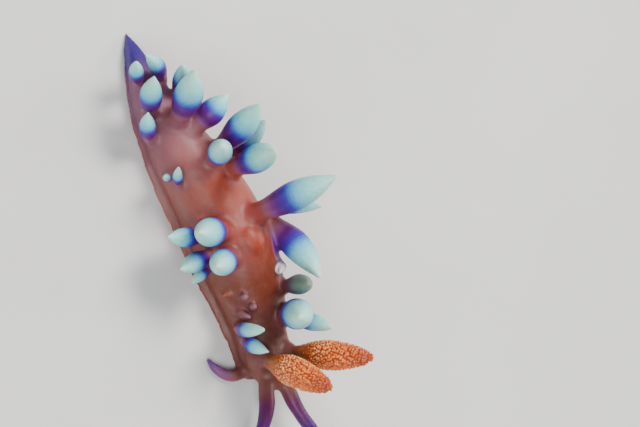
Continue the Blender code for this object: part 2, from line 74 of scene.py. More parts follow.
# Cerata: place, angle from the top, length in mm, sweep to the head, splay from upright, girth
LEFT_CERATA = [
    (0.168, 83, 4.4, 20, 14, 0.79),
    (0.177, 41, 6.9, 1, -25, 0.86),
    (0.242, 46, 5.2, 0, -15, 0.76),
    (0.300, 62, 2.2, 14, -44, 0.8),
    (0.406, 78, 6.0, 52, -6, 0.93),
    (0.440, 22, 7.0, -3, 26, 0.82),
    (0.435, 75, 5.2, 14, 16, 0.6),
    (0.562, 37, 7.8, -5, -10, 0.71),
    (0.576, 81, 5.0, -19, 16, 0.8),
    (0.612, 11, 5.1, -13, -21, 0.92),
    (0.622, 39, 6.2, -17, 9, 0.86),
    (0.701, 23, 3.4, -18, 41, 1.48),
    (0.718, 62, 1.3, -10, 40, 1.3),
    (0.742, 2, 5.9, -28, -4, 0.96),
    (0.788, 84, 4.5, -27, -13, 0.85),
    (0.850, 52, 3.9, -29, -40, 0.82),
]
RIGHT_CERATA = [
    (0.147, 86, 3.8, 19, 6, 0.75),
    (0.177, 88, 5.9, 3, 15, 0.48),
    (0.223, 74, 1.5, 30, -16, 1.18),
    (0.222, 38, 1.0, 0, 20, 1.5),
    (0.255, 48, 1.1, 0, 20, 1.5),
    (0.362, 86, 2.4, 8, 78, 0.95),
    (0.370, 47, 4.6, -3, 44, 1.1),
    (0.396, 74, 4.0, -4, 66, 0.95),
    (0.446, 42, 6.0, -12, 44, 0.92),
    (0.452, 72, 4.0, -20, 66, 0.95),
    (0.599, 70, 2.9, -31, 14, 0.69),
    (0.625, 80, 1.5, -20, 40, 1.1),
    (0.723, 84, 3.7, -34, 17, 0.92),
    (0.787, 52, 4.8, -27, 15, 0.92),
    (0.862, 56, 3.7, -21, 26, 0.8),
]
CERAS_SLENDERNESS = 0.18
CERAS_RADIUS_LIMITS = (0.3, 1.15)
CERAS_BOW = 0.24
CERAS_SUNK = 0.8
CERAS_SUNK_RADII = 1.4
CERAS_PROFILE = [
    (0.0, 0.84), (0.06, 0.74), (0.14, 0.72), (0.26, 0.84), (0.44, 1.0), (0.6, 0.93),
    (0.76, 0.68), (0.9, 0.32), (1.0, 0.04),
]

RHINOPHORE_PLACE = 0.08
RHINOPHORE_ANGLE = 36
RHINOPHORE_LENGTH = 6.2
RHINOPHORE_LEAN = {1: 12, -1: 24}
RHINOPHORE_SPLAY = {1: 24, -1: -8}
RHINOPHORE_PROFILE = [
    (-0.1, 0.6), (0.0, 0.54), (0.1, 0.54), (0.22, 0.7), (0.36, 0.88), (0.5, 0.92), (0.66, 0.85),
    (0.82, 0.67), (0.94, 0.45), (1.0, 0.24),
]

# Limbs of the head: points forwards, outwards and up from the floor under the snout
TENTACLE_ROUTE = [
    (-1.0, 0.7, 1.9), (0.1, 0.85, 2.0), (1.2, 1.1, 2.1), (2.4, 1.65, 2.15),
    (3.6, 2.5, 2.1), (4.7, 3.5, 1.85), (5.5, 4.4, 1.55),
]
TENTACLE_RADII = [0.5, 0.56, 0.52, 0.46, 0.4, 0.32, 0.14]
CORNER_ROUTE = [
    (-1.5, 0.6, 0.36), (-1.35, 1.5, 0.38), (-1.25, 2.2, 0.38), (-1.45, 2.9, 0.34),
    (-1.95, 3.5, 0.28), (-2.55, 3.9, 0.2),
]
CORNER_RADII = [0.46, 0.46, 0.44, 0.38, 0.3, 0.12]
LIP_SIZE = (0.42, 0.3, 0.44)
LIP_SPACING = 0.27
LIP_FORWARD = -0.25
LIP_HEIGHT = 1.38
HEART_PLACE = 0.386
HEART_SIZE = (1.3, 1.0, 0.8)
HEART_SUNK = 0.45

# Steps along the middle line
LINE_STEPS = 400

# Trunk of the skin: places of its rings, the snout's cap as ring size and distance ahead in mm, and
# how the tail narrows to a point
TRUNK_RINGS = 190
TRUNK_START = 0.018
SNOUT_PLACES = (0.0, 0.003, 0.007, 0.012)
SNOUT_CAP = ((0.45, 0.16), (0.8, 0.1))
TAIL_POINT = 0.93
TAIL_TAPER = 0.75
TAIL_LEAST = 0.01
ARCH_STEPS = 36
FLANK_STEPS = 10

# Foot of the skin: places of its rings, the height of its upper side by share of the half width,
# and the shares at which a ring has points
FOOT_RINGS = 170
FOOT_START = 0.047
FOOT_END = 0.955
FOOT_FRONT_PLACES = (0.03, 0.032, 0.036, 0.041)
FOOT_RISE = [(0.0, 0.66), (0.6, 0.62), (0.8, 0.46), (0.93, 0.28), (1.0, 0.13)]
FOOT_FULL_HALF = 1.4
FOOT_TOP_SHARES = (
    -1, -0.97, -0.93, -0.86, -0.78, -0.7, -0.5, -0.25, 0,
    0.25, 0.5, 0.7, 0.78, 0.86, 0.93, 0.97, 1,
)
SOLE_SHARES = (0.97, 0.92, 0.5, 0.0, -0.5, -0.92, -0.97)
SOLE_FLAT_SHARE = 0.95
SOLE_EDGE_RISE = 0.05
# Waves of the foot's margin: size in mm, radians for one body length, start
MARGIN_WAVES = [(0.06, 31, 0.4), (0.035, 73, 1.7), (0.02, 118, 2.9)]
MARGIN_LIFT = 0.5

# Counts of sides, rings and steps, and the shares of its radius at which a tube's end has rings
TUBE_SIDES = 20
TUBE_END_SHARES = (0.5, 0.85)
ELLIPSOID_SIDES = 24
ELLIPSOID_ROWS = 14
CERAS_STEPS = 40
CERAS_SIDES = 26
LIMB_STEPS = 48

# Girth of the skin's cerata as a share of that of the solids
CERAS_TRIM = 0.97
# Collar round a rhinophore's root: distance along its axis and radius
COLLAR = [(-0.9, 0.95), (-0.3, 0.88), (0.0, 0.8), (0.2, 0.72), (0.34, 0.6)]
# Genital papilla and vent on the right flank: place, angle, height; their radii are shares of it
OPENINGS = [(0.275, -78, 0.34), (0.5, -62, 0.24)]
OPENING_SUNK = 0.4
OPENING_RADII = (1.6, 1.2, 0.5)

# Single cerata, by their place: those with a blunt tip, those that are glassy with little of a
# ring, of which the one at 0.242 is a dark grey that is painted shade and the one at 0.3 is pale,
# and those too young for a ring
BLUNT_CERATA = (0.177, 0.242, 0.612)
BLUNTNESS = 0.55
BLUNT_SPAN = (0.5, 0.8)
GLASSY_AND_SHADED_CERATA = {0.242: 1.0, 0.300: 0.5}
YOUNG_CERATA = (0.222, 0.223, 0.255)
RIPE_LENGTHS = (1.0, 1.6)

# Fusing and smoothing of the skin, more strongly within the given radii of the roots
SKIN_VOXEL = 0.112
SKIN_SMOOTHING = 0.5
SKIN_ROUNDS = 2
ROOT_SMOOTHING = 0.9
ROOT_ROUNDS = 14
CERAS_ROOT_RADII = 1.25
RHINOPHORE_ROOT_RADIUS = 1.0
RHINOPHORE_ROOT_WEIGHT = 0.7
LIMB_ROOT_RADIUS = 0.7

# Marks: that of a ceras or limb fades out between two multiples of its radius, within its reach
LIMB_EDGE = (1.25, 1.9)
LIMB_REACH = 2.0
TONE_SEED = 11
NEAREST_CHUNK = 8000
LEAST_SIZE = 0.2

# Relief of the skin: where it is bare, by share along a ceras and height above the floor, swells
# as width in mm, height in mm and seed, and folds on the neck
BARE_SHARE = (0.25, 0.05)
BARE_HEIGHT = (0.05, 0.2)
SWELLS = [(2.2, 0.02, 3), (0.8, 0.005, 4)]
WAVE_COUNT = 10
WAVE_SPREAD = (0.8, 1.6)
NECK_START = (0.1, 0.16)
NECK_END = (0.4, 0.28)
FOLD_PITCH = 0.55
FOLD_HEIGHT = 0.003
FOLD_WANDER = 2.0
FOLD_SEED = 5

# Mouth and eyes: the slit's depth, its width, height and reach inwards, and the eyes' places
MOUTH_DEPTH = 0.28
MOUTH_SIZE = (0.1, 0.34, 0.45)
EYE_PLACE = 0.112
EYE_ANGLE = 52
EYE_RADIUS = 0.15

# Rhinophores: fusing, and the papillae, which grow larger along the club's lower part
CLUB_STEPS = 55
CLUB_SIDES = 36
CLUB_VOXEL = 0.036
CLUB_SMOOTHING = 0.35
CLUB_ROUNDS = 1
CLUB_SEED = 21
PAPILLA_START = 0.26
PAPILLA_GROWTH = (PAPILLA_START - 0.02, 0.42)
PAPILLA_LEAST = 0.35
PAPILLA_LEAST_WIDTH = 0.6
PAPILLA_PITCH = 0.185
PAPILLA_HEIGHT = 0.095
PAPILLA_RADIUS = 0.074
PAPILLA_SIDES = 8
PAPILLA_SUNK = 0.08
PAPILLA_HEIGHTS = (0.0, 0.45, 0.8)
PAPILLA_RADII = (1.0, 1.0, 0.9, 0.66)
PAPILLA_SPREAD = (0.8, 1.2)
PAPILLA_TURN = 0.3
PAPILLA_LEAN = 0.3
PAPILLA_SHIFT = 0.06
TIP_TILTS = (30, 62, 88)
TIP_FLATNESS = 0.85
SLOPE_STEP = 0.01

UP = np.array((0.0, 0.0, 1.0))


def read(table, places):
    """Read a table of (place, value) at many places, with a smooth curve through its points."""
    xs = np.array([row[0] for row in table], float)
    ys = np.array([row[1] for row in table], float)
    index = np.arange(len(xs))
    low, high = np.maximum(index - 1, 0), np.minimum(index + 1, len(xs) - 1)
    slopes = (ys[high] - ys[low]) / (xs[high] - xs[low])
    places = np.clip(np.asarray(places, float), xs[0], xs[-1])
    left = np.clip(np.searchsorted(xs, places, side="right") - 1, 0, len(xs) - 2)
    span = xs[left + 1] - xs[left]
    t = (places - xs[left]) / span
    rise = (3 - 2 * t) * t * t
    bends = (t - 1) ** 2 * t * span * slopes[left] + (t - 1) * t * t * span * slopes[left + 1]
    return ys[left] + (ys[left + 1] - ys[left]) * rise + bends


def smoothstep(low, high, values):
    """0 below low, 1 above high and an S curve between; falls where low is above high."""
    t = np.clip((np.asarray(values, float) - low) / (high - low), 0.0, 1.0)
    return t * t * (3 - 2 * t)


def walk_middle_line():
    """Points of the middle line on the floor, from snout to tail, with the origin at its place."""
    angles = np.radians(read(HEADINGS, (np.arange(LINE_STEPS) + 0.5) / LINE_STEPS))
    headings = np.stack([np.cos(angles), np.sin(angles), np.zeros(LINE_STEPS)], 1)
    points = np.vstack([np.zeros(3), np.cumsum(-headings * BODY_LENGTH / LINE_STEPS, 0)])
    return points - points[round(ORIGIN_PLACE * LINE_STEPS)]


MIDDLE_LINE = walk_middle_line()
LINE_PLACES = np.linspace(0.0, 1.0, LINE_STEPS + 1)


def centre(place):
    """The middle line's point on the floor at a place."""
    return np.array([np.interp(place, LINE_PLACES, column) for column in MIDDLE_LINE.T])


def directions(place):
    """Unit vectors towards the head and to the animal's left."""
    angle = math.radians(float(read(HEADINGS, place)))
    forward = np.array((math.cos(angle), math.sin(angle), 0.0))
    return forward, np.array((-math.sin(angle), math.cos(angle), 0.0))


def trunk_sizes(place):
    """Half width, top, bottom and waist height of the trunk."""
    half = float(read(TRUNK_WIDTH, place)) / 2
    top = float(read(TRUNK_TOP, place))
    bottom = float(read(TRUNK_BOTTOM, place))
    return half, top, bottom, max(top / 2, bottom + (top - bottom) * WAIST_SHARE)


def back_point(place, angle):
    """A point of the trunk's skin at an angle from straight up, and the direction out of it."""
    half, top, _, waist = trunk_sizes(place)
    left = directions(place)[1]
    sine, cosine = math.sin(math.radians(angle)), math.cos(math.radians(angle))
    point = centre(place) + left * (half * sine) + UP * (waist + (top - waist) * cosine)
    return point, left * sine + UP * cosine


def head_point(forwards, outwards, up, side):
    """A point given forwards of the snout, outwards to one side and up."""
    forward, left = directions(0.0)
    return centre(0.0) + forward * forwards + left * (outwards * side) + UP * up


class Shell:
    """Closed surfaces that are collected to become one mesh."""

    def __init__(self):
        self.points = []
        self.faces = []

    def add_rings(self, rings):
        """A closed form through rings of points that have the same count."""
        start = len(self.points)
        count = len(rings[0])
        for ring in rings:
            self.points.extend(tuple(point) for point in ring)
        for row in range(len(rings) - 1):
            for index in range(count):
                here = start + row * count + index
                beside = start + row * count + (index + 1) % count
                self.faces.append((here, beside, beside + count, here + count))
        self.faces.append(tuple(range(start + count - 1, start - 1, -1)))
        end = start + (len(rings) - 1) * count
        self.faces.append(tuple(range(end, end + count)))

    def add_tube(self, points, radii, reference, sides=TUBE_SIDES):
        """A round tube through points, with a rounded end at the last one."""
        points = np.asarray(points, float)
        tangents = np.gradient(points, axis=0)
        tangents /= np.linalg.norm(tangents, axis=1)[:, None]
        across = np.asarray(reference, float)
        rings = []
        angles = np.arange(sides) * 2 * math.pi / sides
        for point, tangent, radius in zip(points, tangents, radii):
            across = across - tangent * across.dot(tangent)
            across /= np.linalg.norm(across)
            beside = np.cross(tangent, across)
            offsets = np.outer(np.cos(angles), across) + np.outer(np.sin(angles), beside)
            rings.append(point + offsets * radius)
        last, axis, size = points[-1], tangents[-1], radii[-1]
        for share in TUBE_END_SHARES:
            narrow = math.sqrt(1 - share * share)
            rings.append(last + axis * (size * share) + (rings[len(points) - 1] - last) * narrow)
        self.add_rings(rings)

    def add_ellipsoid(self, middle, sizes, place):
        """An ellipsoid turned as the body is at a place."""
        forward, left = directions(place)
        angles = np.arange(ELLIPSOID_SIDES) * 2 * math.pi / ELLIPSOID_SIDES
        rings = []
        for row in range(ELLIPSOID_ROWS + 1):
            polar = math.pi * (row + 0.25) / (ELLIPSOID_ROWS + 0.5)
            rings.append(middle + (
                np.outer(np.cos(angles) * math.sin(polar) * sizes[1], left)
                + np.outer(np.sin(angles) * math.sin(polar) * sizes[2], UP)
                + forward * (math.cos(polar) * sizes[0])
            ))
        self.add_rings(rings)


def object_from(name, points, faces):
    """A mesh object from points and faces."""
    mesh = bpy.data.meshes.new(name)
    mesh.from_pydata([tuple(map(float, point)) for point in points], [], faces)
    mesh.update()
    obj = bpy.data.objects.new(name, mesh)
    bpy.context.scene.collection.objects.link(obj)
    return obj


def fused(shell, voxel):
    """The points, quads and edges of one surface round all of a shell's closed forms."""
    source = object_from("source", shell.points, shell.faces)
    change = source.modifiers.new("fuse", "REMESH")
    change.mode = "VOXEL"
    change.voxel_size = voxel
    bpy.context.view_layer.update()
    shape = source.evaluated_get(bpy.context.evaluated_depsgraph_get())
    mesh = bpy.data.meshes.new_from_object(shape)
    bpy.data.objects.remove(source)
    points = np.zeros(len(mesh.vertices) * 3)
    mesh.vertices.foreach_get("co", points)
    faces = [tuple(face.vertices) for face in mesh.polygons]
    edges = np.zeros(len(mesh.edges) * 2, int)
    mesh.edges.foreach_get("vertices", edges)
    bpy.data.meshes.remove(mesh)
    return largest_island(points.reshape(-1, 3), faces, edges.reshape(-1, 2))


def largest_island(points, faces, edges):
    """A surface without the specks that fusing leaves beside it."""
    neighbours = [[] for _ in points]
    for first, second in edges.tolist():
        neighbours[first].append(second)
        neighbours[second].append(first)
    island = [-1] * len(points)
    sizes = []
    for seed in range(len(points)):
        if island[seed] >= 0:
            continue
        island[seed] = len(sizes)
        found = [seed]
        for here in found:
            for beside in neighbours[here]:
                if island[beside] < 0:
                    island[beside] = len(sizes)
                    found.append(beside)
        sizes.append(len(found))
    kept = np.array(island) == int(np.argmax(sizes))
    number = np.cumsum(kept) - 1
    faces = [tuple(number[list(face)].tolist()) for face in faces if kept[face[0]]]
    return points[kept], faces, number[edges[kept[edges[:, 0]]]]


def averaged(values, edges):
    """Each vertex's mean of its neighbours' values."""
    count = len(values)
    ends = np.concatenate([edges[:, 0], edges[:, 1]])
    others = np.concatenate([edges[:, 1], edges[:, 0]])
    number = np.maximum(np.bincount(ends, minlength=count), 1)
    sums = [np.bincount(ends, weights=column[others], minlength=count) for column in values.T]
    return np.stack(sums, 1) / number[:, None]


def smoothed(points, edges, weights, rounds):
    """Points moved towards their neighbours' mean, each by its weight."""
    for _ in range(rounds):
        points = points + (averaged(points, edges) - points) * weights[:, None]
    return points


def vertex_normals(points, faces):
    """Unit normals of a mesh of quads, one for each vertex."""
    quads = np.array(faces)
    corners = [points[quads[:, corner]] for corner in range(4)]
    normals = np.cross(corners[2] - corners[0], corners[3] - corners[1])
    total = np.zeros_like(points)
    for numbers in quads.T:
        for axis in range(3):
            total[:, axis] += np.bincount(numbers, weights=normals[:, axis], minlength=len(points))
    return total / np.maximum(np.linalg.norm(total, axis=1), 1e-12)[:, None]


def waves(points, size, seed):
    """A smooth pseudo-random value between about -1 and 1, whose swells are about size mm wide."""
    draw = np.random.RandomState(seed)
    total = np.zeros(len(points))
    for _ in range(WAVE_COUNT):
        direction = draw.normal(size=3)
        direction /= np.linalg.norm(direction)
        pitch = 2 * math.pi / (size * draw.uniform(*WAVE_SPREAD))
        total += np.sin(points @ direction * pitch + draw.uniform(0, 2 * math.pi))
    return total / math.sqrt(WAVE_COUNT)


# The animal's forms

def trunk_ring(place):
    """One cross-section of the trunk, whose flanks reach down into the foot."""
    half, top, bottom, waist = trunk_sizes(place)
    low = min(float(read(FLANK_BOTTOM, place)), bottom)
    if place > TAIL_POINT:
        beyond = (place - TAIL_POINT) / (1 - TAIL_POINT)
        narrow = max(TAIL_LEAST, 1 - beyond ** 2) ** TAIL_TAPER
        half *= narrow
        top *= narrow
        waist *= narrow
    outline = []
    for step in range(ARCH_STEPS + 1):
        angle = math.radians(-90 + 180 * step / ARCH_STEPS)
        outline.append((half * math.sin(angle), waist + (top - waist) * math.cos(angle)))
    flank = []
    for step in range(1, FLANK_STEPS + 1):
        angle = math.radians(90 * step / FLANK_STEPS)
        across = half * (FLANK_SHARE + (1 - FLANK_SHARE) * math.cos(angle))
        flank.append((across, waist - (waist - low) * math.sin(angle)))
    outline += flank + [(-across, up) for across, up in reversed(flank)]
    left = directions(place)[1]
    return np.array([centre(place) + left * across + UP * up for across, up in outline])


def add_trunk(shell):
    """The body from snout to tail tip, with a rounded snout."""
    places = np.concatenate([SNOUT_PLACES, np.linspace(TRUNK_START, 1.0, TRUNK_RINGS)])
    rings = [trunk_ring(place) for place in places]
    nose = rings[0]
    middle = nose.mean(0)
    forward = directions(0.0)[0]
    cap = [middle + (nose - middle) * size + forward * ahead for size, ahead in SNOUT_CAP]
    shell.add_rings(cap + rings)


def foot_ring(place):
    """One cross-section of the foot: a flat sole and a thin, softly waved margin."""
    half = float(read(FOOT_WIDTH, place)) / 2
    left = directions(place)[1]
    calm = min(1.0, half / FOOT_FULL_HALF)

    def edge_wave(share):
        side = math.copysign(1, share)
        return calm * sum(size * math.sin(place * pitch + start * side)
                          for size, pitch, start in MARGIN_WAVES)

    def point(share, up):
        across = share * half + math.copysign(edge_wave(share) * abs(share), share)
        return centre(place) + left * across + UP * up

    ring = []
    for share in FOOT_TOP_SHARES:
        rise = float(read(FOOT_RISE, abs(share))) * calm
        ring.append(point(share, rise + edge_wave(share) * MARGIN_LIFT * abs(share) ** 3))
    for share in SOLE_SHARES:
        ring.append(point(share, SOLE_EDGE_RISE if abs(share) > SOLE_FLAT_SHARE else 0.0))
    return ring


def add_foot(shell):
    """The foot, with a rounded front edge."""
    places = np.concatenate([FOOT_FRONT_PLACES, np.linspace(FOOT_START, FOOT_END, FOOT_RINGS)])
    shell.add_rings([foot_ring(place) for place in places])


def ceras_axis(side, row):
    """One ceras: its root, place and sizes, and points, radii and shares from root to tip."""
    place, angle, length, sweep, splay, girth = row
    root, outwards = back_point(place, angle * side)
    forward, left = directions(place)
    tilt, lean = math.radians(sweep), math.radians(splay)
    aside = left * (side * math.sin(lean)) + UP * math.cos(lean)
    axis = forward * math.sin(tilt) + aside * math.cos(tilt)
    bow = (outwards - axis * outwards.dot(axis)) * (CERAS_BOW * length)
    least, most = CERAS_RADIUS_LIMITS
    radius = max(least, min(most, length * CERAS_SLENDERNESS * girth))
    shares = np.linspace(0.0, 1.0, CERAS_STEPS + 1)
    sunk = min(CERAS_SUNK, radius * CERAS_SUNK_RADII)
    return {
        "place": place,
        "length": length,
        "radius": radius,
        "root": root,
        "outwards": outwards,
        "start": root - outwards * sunk,
        "points": root + np.outer(shares * length, axis) + np.outer(shares * (1 - shares), bow),
        "radii": read(CERAS_PROFILE, shares) * radius,
        "shares": shares,
    }


CERATA = [ceras_axis(1, row) for row in LEFT_CERATA] + [ceras_axis(-1, row) for row in RIGHT_CERATA]


def add_cerata(shell):
    """All cerata, each sunk into the back at its root, and a few with a blunt tip."""
    for ceras in CERATA:
        points = np.vstack([ceras["start"], ceras["points"]])
        radii = ceras["radii"]
        if ceras["place"] in BLUNT_CERATA:
            shares = ceras["shares"]
            dome = radii.max() * np.sqrt(np.maximum(0.0, 1 - (2 * shares - 1) ** 2))
            radii = radii + (dome - radii) * BLUNTNESS * smoothstep(*BLUNT_SPAN, shares)
        radii = np.concatenate([[radii[0]], radii]) * CERAS_TRIM
        shell.add_tube(points, radii, ceras["outwards"] + UP * 0.01, CERAS_SIDES)


def limb(route, radii, side):
    """Points, radii and shares along a slender limb of the head."""
    shares = np.linspace(0.0, 1.0, LIMB_STEPS + 1)
    stations = np.linspace(0.0, 1.0, len(route))
    columns = [read(list(zip(stations, column)), shares) for column in zip(*route)]
    points = np.array([head_point(*place, side) for place in zip(*columns)])
    return points, read(list(zip(stations, radii)), shares), shares


TENTACLES = [limb(TENTACLE_ROUTE, TENTACLE_RADII, side) for side in (1, -1)]
CORNERS = [limb(CORNER_ROUTE, CORNER_RADII, side) for side in (1, -1)]


def rhinophore_axis(side):
    """Root, axis and front direction of a rhinophore."""
    root, _ = back_point(RHINOPHORE_PLACE, RHINOPHORE_ANGLE * side)
    forward, left = directions(RHINOPHORE_PLACE)
    lean = math.radians(RHINOPHORE_LEAN[side])
    splay = math.radians(RHINOPHORE_SPLAY[side] * side)
    aside = left * math.sin(splay) + UP * math.cos(splay)
    axis = forward * math.sin(lean) + aside * math.cos(lean)
    front = forward - axis * forward.dot(axis)
    return root, axis, front / np.linalg.norm(front)


def mouth_middle():
    """The point between the lips."""
    return centre(0.0) + directions(0.0)[0] * LIP_FORWARD + UP * LIP_HEIGHT


def add_head_forms(shell):
    """Lips, oral tentacles, foot corners and the low collars round the rhinophores."""
    left = directions(0.0)[1]
    for side in (1, -1):
        shell.add_ellipsoid(mouth_middle() + left * (LIP_SPACING * side), LIP_SIZE, 0.0)
        root, axis, front = rhinophore_axis(side)
        collar = [root + axis * along for along, _ in COLLAR]
        shell.add_tube(collar, [radius for _, radius in COLLAR], front)
    for points, radii, _ in TENTACLES + CORNERS:
        shell.add_tube(points, radii, UP)


def add_heart(shell):
    """The low swelling over the heart."""
    top, upwards = back_point(HEART_PLACE, 0)
    shell.add_ellipsoid(top - upwards * HEART_SUNK, HEART_SIZE, HEART_PLACE)


def add_openings(shell):
    """The low papillae of the genital opening and the vent."""
    for place, angle, size in OPENINGS:
        point, outwards = back_point(place, angle)
        path = [point + outwards * step for step in (-OPENING_SUNK, 0.0, size)]
        shell.add_tube(path, [size * radius for radius in OPENING_RADII], UP)


# Marks on the skin, read by the materials

def nearest_on_path(points, path, radii, shares):
    """For each point: its distance to a path over the path's radius there, and the share along."""
    best = np.full(len(points), np.inf)
    share = np.zeros(len(points))
    pieces = zip(path, path[1:], radii, radii[1:], shares, shares[1:])
    for start, end, first, last, low, high in pieces:
        step = end - start
        t = np.clip((points - start) @ step / step.dot(step), 0.0, 1.0)
        distance = np.linalg.norm(points - start - np.outer(t, step), axis=1)
        ratio = distance / (first + (last - first) * t)
        closer = ratio < best
        best[closer] = ratio[closer]
        share[closer] = (low + (high - low) * t)[closer]
    return best, share


def limb_share(points, path, radii, shares):
    """The share along a limb at the points that belong to it, and 0 elsewhere."""
    margin = LIMB_REACH * radii.max()
    inside = (points > path.min(0) - margin) & (points < path.max(0) + margin)
    found = np.all(inside, axis=1)
    ratio, share = nearest_on_path(points[found], path, radii, shares)
    inner, outer = LIMB_EDGE
    result = np.zeros(len(points))
    result[found] = share * smoothstep(outer, inner, ratio)
    return result


def ceras_marks(points):
    """Share along the cerata, and each one's own tone, ripeness and glassiness, which at its
    highest is also painted shade.
    """
    marks = {name: np.zeros(len(points)) for name in ("ceras", "tone", "ripe", "glassy_and_shaded")}
    draw = np.random.RandomState(TONE_SEED)
    for ceras in CERATA:
        share = limb_share(points, ceras["points"], ceras["radii"], ceras["shares"])
        stronger = share > marks["ceras"]
        marks["ceras"][stronger] = share[stronger]
        marks["tone"][stronger] = draw.uniform(0.0, 1.0)
        young = ceras["place"] in YOUNG_CERATA
        marks["ripe"][stronger] = 0.0 if young else smoothstep(*RIPE_LENGTHS, ceras["length"])
        marks["glassy_and_shaded"][stronger] = GLASSY_AND_SHADED_CERATA.get(ceras["place"], 0.0)
    return marks


def body_marks(points):
    """Place along the body, and position round it from 0 on the back to 1 at the floor."""
    nearest = np.empty(len(points), int)
    for start in range(0, len(points), NEAREST_CHUNK):
        part = points[start:start + NEAREST_CHUNK, None]
        gaps = (part[..., 0] - MIDDLE_LINE[:, 0]) ** 2 + (part[..., 1] - MIDDLE_LINE[:, 1]) ** 2
        nearest[start:start + NEAREST_CHUNK] = gaps.argmin(1)
    place = LINE_PLACES[nearest]
    across = np.linalg.norm((points - MIDDLE_LINE[nearest])[:, :2], axis=1)
    half = np.maximum(read(FOOT_WIDTH, place) / 2, LEAST_SIZE)
    top = np.maximum(read(TRUNK_TOP, place), LEAST_SIZE)
    return place, np.arctan2(across / half, points[:, 2] / top) / (math.pi / 2)


def root_weights(points):
    """How close each point is to the root of a ceras, rhinophore, tentacle or foot corner."""
    roots = [(ceras["root"], ceras["radius"] * CERAS_ROOT_RADII, 1.0) for ceras in CERATA]
    for side in (1, -1):
        roots += [
            (rhinophore_axis(side)[0], RHINOPHORE_ROOT_RADIUS, RHINOPHORE_ROOT_WEIGHT),
            (head_point(*TENTACLE_ROUTE[1], side), LIMB_ROOT_RADIUS, 1.0),
            (head_point(*CORNER_ROUTE[1], side), LIMB_ROOT_RADIUS, 1.0),
        ]
    weights = np.zeros(len(points))
    for root, radius, most in roots:
        gap = np.linalg.norm(points - root, axis=1) / radius
        weights = np.maximum(weights, most * np.exp(-(gap ** 2)))
    return weights


def mouth_slit(points):
    """1 along the upright slit between the lips, falling to 0 beside it."""
    forward, left = directions(0.0)
    offsets = points - (mouth_middle() + forward * LIP_SIZE[0])
    across, up, ahead = offsets @ left, offsets @ UP, offsets @ forward
    width, height, depth = MOUTH_SIZE
    return np.exp(-(across / width) ** 2 - (up / height) ** 4 - (ahead / depth) ** 4)


def eye_marks(points):
    """1 on the two tiny pigment spots behind the rhinophores."""
    mark = np.zeros(len(points))
    for side in (1, -1):
        spot, _ = back_point(EYE_PLACE, EYE_ANGLE * side)
        gap = np.linalg.norm(points - spot, axis=1) / EYE_RADIUS
        mark = np.maximum(mark, np.exp(-(gap ** 4)))
    return mark


def skin_relief(points, marks):
    """Height in mm of the bare skin's soft swells and of the fine folds on the neck."""
    bare = smoothstep(*BARE_SHARE, marks["ceras"]) * smoothstep(*BARE_HEIGHT, points[:, 2])
    swell = sum(waves(points, size, seed) * height for size, height, seed in SWELLS)
    along = marks["along"]
    neck = smoothstep(*NECK_START, along) * smoothstep(*NECK_END, along)
    turns = along * BODY_LENGTH * 2 * math.pi / FOLD_PITCH
    folds = np.sin(turns + waves(points, FOLD_WANDER, FOLD_SEED)) * neck * FOLD_HEIGHT
    return (swell + folds) * bare


def finished_object(name, points, faces, marks):
    """A smooth mesh in metres with its marks as attributes."""
    obj = object_from(name, points * MM, faces)
    for mark, values in marks.items():
        layer = obj.data.attributes.new(mark, "FLOAT", "POINT")
        layer.data.foreach_set("value", np.asarray(values, np.float32))
    obj.data.shade_smooth()
    return obj


def make_skin():
    """One soft skin round the body, foot, cerata, tentacles and foot corners."""
    shell = Shell()
    add_trunk(shell)
    add_foot(shell)
    add_cerata(shell)
    add_head_forms(shell)
    add_heart(shell)
    add_openings(shell)
    points, faces, edges = fused(shell, SKIN_VOXEL)
    roots = root_weights(points)
    points = smoothed(points, edges, np.full(len(points), SKIN_SMOOTHING), SKIN_ROUNDS)
    points = smoothed(points, edges, roots * ROOT_SMOOTHING, ROOT_ROUNDS)
    marks = ceras_marks(points)
    for name, limbs in (("tentacle", TENTACLES), ("corner", CORNERS)):
        marks[name] = np.maximum.reduce([limb_share(points, *each) for each in limbs])
    marks["along"], marks["round"] = body_marks(points)
    marks["eye"] = eye_marks(points)
    relief = skin_relief(points, marks)
    points = points + vertex_normals(points, faces) * relief[:, None]
    marks["mouth"] = mouth_slit(points)
    points = points + np.outer(marks["mouth"], -directions(0.0)[0] * MOUTH_DEPTH)
    marks["roots"] = roots
    points[:, 2] = np.maximum(points[:, 2], 0.0)
    return finished_object("skin", points, faces, marks)


def papilla_rows(root, axis):
    """Rows of papillae round the club, then rings over its tip: middle, radius, tilt and share."""
    rows = []
    for share in np.arange(PAPILLA_START, 1.0, PAPILLA_PITCH / RHINOPHORE_LENGTH):
        radius, beyond = read(RHINOPHORE_PROFILE, [share, share + SLOPE_STEP])
        slope = (beyond - radius) / (SLOPE_STEP * RHINOPHORE_LENGTH)
        middle = root + axis * (share * RHINOPHORE_LENGTH)
        rows.append((middle, radius, math.atan(-slope), share))
    tip_radius = RHINOPHORE_PROFILE[-1][1]
    for tilt in TIP_TILTS:
        angle = math.radians(tilt)
        middle = root + axis * (RHINOPHORE_LENGTH + tip_radius * math.sin(angle) * TIP_FLATNESS)
        rows.append((middle, tip_radius * math.cos(angle), angle, 1.0))
    return rows


def papilla_sites(side, draw):
    """Root, direction and share along the club of every papilla."""
    root, axis, front = rhinophore_axis(side)
    aside = np.cross(axis, front)
    sites = []
    for number, (middle, radius, tilt, share) in enumerate(papilla_rows(root, axis)):
        count = max(1, round(2 * math.pi * radius / PAPILLA_PITCH))
        for index in range(count):
            step = index + 0.5 * (number % 2) + draw.uniform(-PAPILLA_TURN, PAPILLA_TURN)
            turn = 2 * math.pi * step / count
            outwards = front * math.cos(turn) + aside * math.sin(turn)
            upwards = math.sin(tilt) + draw.uniform(0.0, PAPILLA_LEAN)
            lean = outwards * math.cos(tilt) + axis * upwards
            shift = draw.uniform(-PAPILLA_SHIFT, PAPILLA_SHIFT)
            base = middle + outwards * radius + axis * shift
            sites.append((base, lean / np.linalg.norm(lean), share))
    return sites


